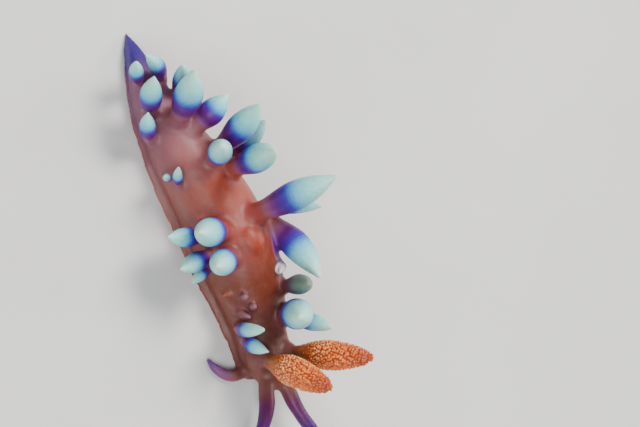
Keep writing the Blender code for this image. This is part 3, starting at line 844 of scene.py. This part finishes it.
def make_rhinophore(side):
    """A smooth stalk and a club that is covered with small, round papillae."""
    root, axis, front = rhinophore_axis(side)
    shares = np.linspace(RHINOPHORE_PROFILE[0][0], 1.0, CLUB_STEPS + 1)
    path = root + np.outer(shares * RHINOPHORE_LENGTH, axis)
    shell = Shell()
    shell.add_tube(path, read(RHINOPHORE_PROFILE, shares), front, CLUB_SIDES)
    draw = np.random.RandomState(CLUB_SEED + side)
    for base, lean, share in papilla_sites(side, draw):
        growth = float(smoothstep(*PAPILLA_GROWTH, share))
        grown = PAPILLA_LEAST + (1 - PAPILLA_LEAST) * growth
        stout = PAPILLA_LEAST_WIDTH + (1 - PAPILLA_LEAST_WIDTH) * grown
        height = PAPILLA_HEIGHT * draw.uniform(*PAPILLA_SPREAD) * grown
        size = PAPILLA_RADIUS * draw.uniform(*PAPILLA_SPREAD) * stout
        steps = [-PAPILLA_SUNK] + [height * step for step in PAPILLA_HEIGHTS]
        papilla = [base + lean * step for step in steps]
        radii = [size * radius for radius in PAPILLA_RADII]
        shell.add_tube(papilla, radii, axis + front * 0.3, PAPILLA_SIDES)
    points, faces, edges = fused(shell, CLUB_VOXEL)
    points = smoothed(points, edges, np.full(len(points), CLUB_SMOOTHING), CLUB_ROUNDS)
    offsets = points - root
    along = offsets @ axis / RHINOPHORE_LENGTH
    foot = np.outer(np.minimum(along, 1.0) * RHINOPHORE_LENGTH, axis)
    rise = np.linalg.norm(offsets - foot, axis=1) - read(RHINOPHORE_PROFILE, along)
    marks = {"along": along, "rise": np.clip(rise / PAPILLA_HEIGHT, -0.5, 1.5)}
    name = "rhinophore_left_fine" if side > 0 else "rhinophore_right_fine"
    return finished_object(name, points, faces, marks)


# Materials

def linear(red, green, blue):
    """A colour given as on a screen, 0 to 255, as the shader reads it."""
    values = [channel / 255 for channel in (red, green, blue)]
    values = [v / 12.92 if v <= 0.04045 else ((v + 0.055) / 1.055) ** 2.4 for v in values]
    return (*values, 1.0)


# Ramps: position along the body, limb or ceras, and colour as on a screen
BACK_COLOURS = [
    (0.0, (96, 48, 32)), (0.14, (86, 38, 18)), (0.3, (106, 42, 20)), (0.44, (152, 54, 26)),
    (0.55, (160, 66, 42)), (0.64, (154, 88, 86)), (0.73, (138, 80, 88)), (0.83, (130, 80, 104)),
    (0.95, (90, 46, 104)),
]
FLANK_COLOURS = [
    (0.0, (106, 60, 48)), (0.3, (114, 60, 46)), (0.55, (142, 84, 78)), (0.7, (130, 80, 88)),
    (0.84, (126, 82, 108)), (0.95, (92, 58, 108)),
]
TENTACLE_COLOURS = [
    (0.0, (102, 52, 40)), (0.24, (98, 32, 60)), (0.36, (84, 4, 74)), (0.58, (66, 6, 96)),
    (0.72, (96, 76, 152)), (0.88, (182, 186, 196)),
]
CORNER_COLOURS = [(0.3, (138, 86, 84)), (0.7, (116, 66, 116)), (1.0, (86, 46, 134))]
CERAS_COLOURS = [
    (0.04, (140, 86, 90)), (0.2, (136, 88, 108)), (0.29, (122, 60, 124)), (0.35, (92, 26, 122)),
    (0.42, (70, 26, 138)), (0.465, (58, 46, 160)), (0.5, (62, 106, 186)), (0.56, (96, 176, 208)),
    (0.66, (134, 212, 210)), (0.85, (176, 230, 214)), (1.0, (204, 224, 204)),
]
# Glassy cerata, by level: pale cream at 0.5, and at 1 a dark olive grey that is painted shade
GLASSY_AND_SHADED_COLOURS = [(0.5, (200, 186, 184)), (1.0, (84, 86, 66))]
CLUB_COLOURS = [
    (0.0, (106, 54, 40)), (0.1, (122, 66, 44)), (0.24, (158, 90, 40)), (0.36, (192, 96, 18)),
    (0.7, (206, 90, 2)), (1.0, (164, 60, 0)),
]
PAPILLA_COLOURS = [
    (0.0, (106, 54, 40)), (0.22, (186, 126, 80)), (0.38, (242, 188, 122)), (0.7, (244, 156, 56)),
    (1.0, (208, 106, 18)),
]
CLOUD_PINK = linear(148, 88, 88)
GRANULE_PINK = linear(210, 168, 168)
ROOT_MAUVE = linear(116, 70, 84)
TAIL_VIOLET = linear(56, 34, 122)
RING_WINE = linear(84, 14, 82)
RING_VIOLET = linear(94, 14, 116)
LAST_STALK_VIOLET = linear(82, 22, 120)
SPECKLE_WHITE = linear(232, 248, 240)
SHADE_TEAL = linear(112, 178, 184)
FAINT_STALK = linear(100, 60, 70)
BUD_BROWN = linear(112, 58, 56)
BUD_MAUVE = linear(132, 90, 102)
EYE_BLACK = linear(40, 22, 30)
MOUTH_RED = linear(120, 50, 56)
# Painted shade in the hollows between a rhinophore's papillae
HOLLOW_SHADE_ORANGE = linear(150, 48, 0)
FLOOR_DARK = linear(205, 203, 200)
FLOOR_LIGHT = linear(211, 209, 206)


class Surface:
    """A material's nodes, built up step by step."""

    def __init__(self, name):
        self.material = bpy.data.materials.new(name)
        self.material.use_nodes = True
        self.nodes = self.material.node_tree.nodes
        self.links = self.material.node_tree.links
        self.shader = self.nodes["Principled BSDF"]
        place = self.nodes.new("ShaderNodeTexCoord").outputs["Object"]
        scaled = self.nodes.new("ShaderNodeVectorMath")
        scaled.operation = "SCALE"
        scaled.inputs["Scale"].default_value = 1 / MM
        self.links.new(place, scaled.inputs[0])
        self.millimetres = scaled.outputs[0]

    def feed(self, value, socket):
        """Link an output, or set a plain value."""
        if hasattr(value, "is_output"):
            self.links.new(value, socket)
        else:
            socket.default_value = value

    def mark(self, name):
        """A number that the mesh carries."""
        node = self.nodes.new("ShaderNodeAttribute")
        node.attribute_type = "GEOMETRY"
        node.attribute_name = name
        return node.outputs["Fac"]

    def math(self, operation, first, second):
        """The result of a Math node's operation on two numbers."""
        node = self.nodes.new("ShaderNodeMath")
        node.operation = operation
        self.feed(first, node.inputs[0])
        self.feed(second, node.inputs[1])
        return node.outputs[0]

    def plus(self, first, second):
        """The sum of two numbers."""
        return self.math("ADD", first, second)

    def times(self, product, *factors):
        """The product of two or more numbers."""
        for factor in factors:
            product = self.math("MULTIPLY", product, factor)
        return product

    def swing(self, value, size):
        """A value from 0 to 1 as one that swings about 0, half of size each way."""
        return self.times(self.math("SUBTRACT", value, 0.5), size)

    def span(self, value, low, high, start=0.0, end=1.0):
        """A value between low and high as one between start and end, with soft ends."""
        node = self.nodes.new("ShaderNodeMapRange")
        node.interpolation_type = "SMOOTHSTEP"
        limits = {"From Min": low, "From Max": high, "To Min": start, "To Max": end}
        for name, number in limits.items():
            node.inputs[name].default_value = number
        self.feed(value, node.inputs["Value"])
        return node.outputs["Result"]

    def mix(self, share, first, second):
        """Two colours mixed."""
        node = self.nodes.new("ShaderNodeMix")
        node.data_type = "RGBA"
        self.feed(share, node.inputs[0])
        self.feed(first, node.inputs[6])
        self.feed(second, node.inputs[7])
        return node.outputs[2]

    def ramp(self, value, stops, interpolation="EASE"):
        """A colour read from a ramp's stops."""
        node = self.nodes.new("ShaderNodeValToRGB")
        node.color_ramp.interpolation = interpolation
        elements = node.color_ramp.elements
        while len(elements) < len(stops):
            elements.new(0.5)
        for element, (position, colour) in zip(elements, stops):
            element.position = position
            element.color = linear(*colour)
        self.feed(value, node.inputs[0])
        return node.outputs[0]

    def noise(self, scale, detail=2.0, roughness=0.5):
        """Soft noise with so many swells to a millimetre."""
        node = self.nodes.new("ShaderNodeTexNoise")
        node.inputs["Scale"].default_value = scale
        node.inputs["Detail"].default_value = detail
        node.inputs["Roughness"].default_value = roughness
        self.links.new(self.millimetres, node.inputs["Vector"])
        return node.outputs["Fac"]

    def cells(self, scale):
        """Distance to the nearest of scattered points, so many to a millimetre."""
        node = self.nodes.new("ShaderNodeTexVoronoi")
        node.inputs["Scale"].default_value = scale
        self.links.new(self.millimetres, node.inputs["Vector"])
        return node.outputs["Distance"]

    def bump(self, height, depth, strength, below=None):
        """A normal from a height that is depth mm high, over another normal."""
        node = self.nodes.new("ShaderNodeBump")
        node.inputs["Distance"].default_value = depth * MM
        node.inputs["Strength"].default_value = strength
        self.feed(height, node.inputs["Height"])
        if below is not None:
            self.links.new(below, node.inputs["Normal"])
        return node.outputs["Normal"]

    def set(self, **sockets):
        """Feed the shader's sockets, named with underscores for spaces."""
        for name, value in sockets.items():
            self.feed(value, self.shader.inputs[name.replace("_", " ")])


def flesh_colour(s, along):
    """Flesh: lilac pink at the tail, salmon in the middle, browner on the neck."""
    drift = s.swing(s.noise(0.55), 0.12)
    back = s.ramp(s.plus(along, drift), BACK_COLOURS)
    flank = s.ramp(along, FLANK_COLOURS)
    flesh = s.mix(s.span(s.mark("round"), 0.2, 0.7), back, flank)
    clouds = s.span(s.noise(1.3, 3.0, 0.55), 0.42, 0.75)
    flesh = s.mix(s.times(clouds, 0.16), flesh, CLOUD_PINK)
    granules = s.span(s.cells(6.0), 0.22, 0.1)
    flesh = s.mix(s.times(granules, 0.1), flesh, GRANULE_PINK)
    return s.mix(s.times(s.mark("roots"), 0.5), flesh, ROOT_MAUVE)


def with_limb_colours(s, flesh, along, grain):
    """Flesh with a blue violet tail tip, violet tentacles and violet tips of the foot corners."""
    tail = s.span(s.plus(along, s.swing(grain, 0.02)), 0.86, 0.935)
    flesh = s.mix(tail, flesh, TAIL_VIOLET)
    tentacle = s.plus(s.mark("tentacle"), s.swing(grain, 0.03))
    flesh = s.mix(s.span(tentacle, 0.14, 0.3), flesh, s.ramp(tentacle, TENTACLE_COLOURS))
    corner = s.mark("corner")
    return s.mix(s.span(corner, 0.3, 0.55), flesh, s.ramp(corner, CORNER_COLOURS))


def ceras_colour(s, share, along, rear, pale, speckle):
    """Cerata: a flesh stalk, a violet and blue ring and a pale, granular upper half."""
    band = s.ramp(share, CERAS_COLOURS, "LINEAR")
    wine = s.times(s.span(share, 0.26, 0.34), s.span(share, 0.44, 0.36))
    patches = s.math("MAXIMUM", s.span(s.noise(0.9, 1.0), 0.4, 0.6), rear)
    band = s.mix(s.times(wine, patches, 0.7), band, RING_WINE)
    violet = s.times(s.span(share, 0.32, 0.38), s.span(share, 0.475, 0.44))
    band = s.mix(s.times(violet, rear, 0.6), band, RING_VIOLET)
    last_stalks = s.times(s.span(along, 0.79, 0.86), s.span(share, 0.38, 0.28))
    band = s.mix(s.times(last_stalks, 0.75), band, LAST_STALK_VIOLET)
    band = s.mix(s.times(speckle, 0.4), band, SPECKLE_WHITE)
    shade = s.span(s.noise(3.2, 3.0, 0.6), 0.3, 0.7)
    band = s.mix(s.times(shade, pale, 0.25), band, SHADE_TEAL)

    # Glassy cerata lose most of their ring; the dark grey of the most glassy one is painted shade
    glassy_and_shaded = s.mark("glassy_and_shaded")
    glassy_and_shaded_colour = s.mix(s.span(share, 0.3, 0.55), FAINT_STALK, s.ramp(glassy_and_shaded, GLASSY_AND_SHADED_COLOURS))
    band = s.mix(s.span(glassy_and_shaded, 0.0, 0.5, 0.0, 0.82), band, glassy_and_shaded_colour)
    bud = s.mix(s.span(share, 0.2, 0.9), BUD_BROWN, BUD_MAUVE)
    return s.mix(s.mark("ripe"), bud, band)


def skin_material():
    """Translucent flesh that turns into the colours of the cerata along each of them."""
    s = Surface("living skin")
    along = s.mark("along")
    grain = s.noise(9.0, 3.0, 0.6)
    flesh = with_limb_colours(s, flesh_colour(s, along), along, grain)

    # The rings of the rear cerata lie a little higher and are more violet
    rear = s.span(along, 0.55, 0.7)
    share = s.plus(s.mark("ceras"), s.swing(grain, 0.025))
    share = s.plus(share, s.swing(s.mark("tone"), 0.06))
    share = s.math("SUBTRACT", share, s.times(rear, 0.05))
    pale = s.span(share, 0.52, 0.64)
    speckle = s.times(s.span(s.cells(10.0), 0.36, 0.18), pale)
    band = ceras_colour(s, share, along, rear, pale, speckle)

    colour = s.mix(s.span(share, 0.06, 0.26), flesh, band)
    colour = s.mix(s.mark("eye"), colour, EYE_BLACK)
    colour = s.mix(s.times(s.mark("mouth"), 0.7), colour, MOUTH_RED)
    normal = s.bump(s.plus(s.times(speckle, 0.7), grain), 0.02, 0.55)
    s.set(
        Base_Color=colour,
        Roughness=s.span(s.noise(4.0), 0.3, 0.7, 0.4, 0.52),
        Subsurface_Weight=s.span(share, 0.3, 0.55, 0.95, 0.5),
        Subsurface_Radius=(1.0, 0.42, 0.36),
        Subsurface_Scale=s.span(share, 0.1, 0.5, 0.8 * MM, 0.2 * MM),
        Specular_IOR_Level=0.3,
        Coat_Weight=0.06,
        Coat_Roughness=0.3,
        Normal=s.bump(s.noise(2.6, 3.0), 0.06, 0.35, normal),
    )
    return s.material


def rhinophore_material():
    """Deep orange flesh under papillae with frosted peach tips, duller towards the root; painted
    shade darkens the hollows.
    """
    s = Surface("orange rhinophore")
    along, rise = s.mark("along"), s.mark("rise")
    grain = s.noise(8.0, 3.0, 0.6)
    frost = s.times(s.span(rise, 0.35, 0.95), s.span(grain, 0.3, 0.62))
    colour = s.mix(frost, s.ramp(along, CLUB_COLOURS), s.ramp(along, PAPILLA_COLOURS))
    # Painted shade: a darker, redder orange in the hollows between the papillae
    hollow_shade = s.times(s.span(rise, 0.3, -0.1), s.span(along, 0.2, 0.36))
    s.set(
        Base_Color=s.mix(hollow_shade, colour, HOLLOW_SHADE_ORANGE),
        Roughness=s.span(grain, 0.3, 0.7, 0.36, 0.52),
        Subsurface_Weight=0.6,
        Subsurface_Radius=(1.0, 0.4, 0.15),
        Subsurface_Scale=0.3 * MM,
        Coat_Weight=0.2,
        Coat_Roughness=0.2,
        Normal=s.bump(grain, 0.02, 0.5),
    )
    return s.material


def floor_material():
    """A plain, pale, matt floor."""
    s = Surface("pale floor")
    tint = s.span(s.noise(0.05), 0.3, 0.7)
    s.set(Base_Color=s.mix(tint, FLOOR_DARK, FLOOR_LIGHT), Roughness=0.85)
    return s.material


# The camera, in the photograph's direction: angles in degrees, places and distance in mm. The
# framing turns it off its target, to the picture's right and up, by a share of the distance.
CAMERA_ELEVATION = 58
CAMERA_AZIMUTH = -101
CAMERA_ROLL = 15
CAMERA_DISTANCE = 160.0
CAMERA_TARGET = (0.0, 0.0, 2.0)
CAMERA_LENS = 135
CAMERA_SENSOR = 36
CAMERA_NEAREST = 0.001
FRAMING_RIGHT = 99 / 2400
FRAMING_UP = 1 / 2400

# Lights: name, place in metres, side in metres, watts and colour
LIGHTS = [
    ("key light", (-0.08, 0.1, 0.26), 0.11, 1.15, (1.0, 0.98, 0.95)),
    ("fill light", (0.05, -0.18, 0.22), 0.18, 0.85, (0.95, 0.98, 1.0)),
    ("rim light", (0.05, 0.26, 0.14), 0.12, 0.45, (1.0, 1.0, 1.0)),
]
LIGHT_TARGET = (0.0, 0.0, 0.002)
WORLD_COLOUR = (0.9, 0.95, 1.0, 1.0)
WORLD_STRENGTH = 0.28
FLOOR_REACH = 1.0
FLOOR_GAP = 0.02


def make_camera():
    """A long lens looking down on the animal from its right side, rolled as in the photograph."""
    angles = (CAMERA_ELEVATION, CAMERA_AZIMUTH, CAMERA_ROLL)
    elevation, azimuth, roll = (math.radians(angle) for angle in angles)
    flat = math.cos(elevation)
    back = Vector((flat * math.cos(azimuth), flat * math.sin(azimuth), math.sin(elevation)))
    level = Vector((-math.sin(azimuth), math.cos(azimuth), 0.0))
    upright = back.cross(level)
    right = upright * math.cos(roll) + level * math.sin(roll)
    down = level * math.cos(roll) - upright * math.sin(roll)
    forward = (-back + right * FRAMING_RIGHT - down * FRAMING_UP).normalized()
    right = (right - forward * right.dot(forward)).normalized()
    above = right.cross(forward)
    camera = bpy.data.cameras.new("camera")
    camera.lens = CAMERA_LENS
    camera.sensor_width = CAMERA_SENSOR
    camera.clip_start = CAMERA_NEAREST
    obj = bpy.data.objects.new("camera", camera)
    obj.matrix_world = Matrix((right, above, -forward)).transposed().to_4x4()
    obj.location = (Vector(CAMERA_TARGET) + back * CAMERA_DISTANCE) * MM
    bpy.context.scene.collection.objects.link(obj)
    bpy.context.scene.camera = obj


def make_light(name, place, size, power, colour):
    """A soft square light that faces the animal."""
    light = bpy.data.lights.new(name, "AREA")
    light.energy = power
    light.size = size
    light.color = colour
    obj = bpy.data.objects.new(name, light)
    obj.location = place
    view = Vector(LIGHT_TARGET) - Vector(place)
    obj.rotation_euler = view.to_track_quat("-Z", "Y").to_euler()
    bpy.context.scene.collection.objects.link(obj)


def make_surroundings():
    """Floor, lights and world."""
    reach = FLOOR_REACH
    corners = [(-reach, -reach, 0), (reach, -reach, 0), (reach, reach, 0), (-reach, reach, 0)]
    floor = object_from("floor", corners, [(0, 1, 2, 3)])
    floor.location.z = -FLOOR_GAP * MM
    floor.data.materials.append(floor_material())
    for light in LIGHTS:
        make_light(*light)
    world = bpy.data.worlds.new("studio")
    world.use_nodes = True
    background = world.node_tree.nodes["Background"]
    background.inputs["Color"].default_value = WORLD_COLOUR
    background.inputs["Strength"].default_value = WORLD_STRENGTH
    bpy.context.scene.world = world


make_camera()

skin = make_skin()
skin.data.materials.append(skin_material())
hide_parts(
    "head", "body_front", "body_middle", "body_rear", "tail", "tail_tip", "foot",
    "foot_corner_left", "foot_corner_right", "oral_tentacle_left", "oral_tentacle_right",
)
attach(skin, "root")

orange = rhinophore_material()
for side, node in ((1, "rhinophore_left"), (-1, "rhinophore_right")):
    club = make_rhinophore(side)
    club.data.materials.append(orange)
    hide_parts(node)
    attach(club, "root")

make_surroundings()
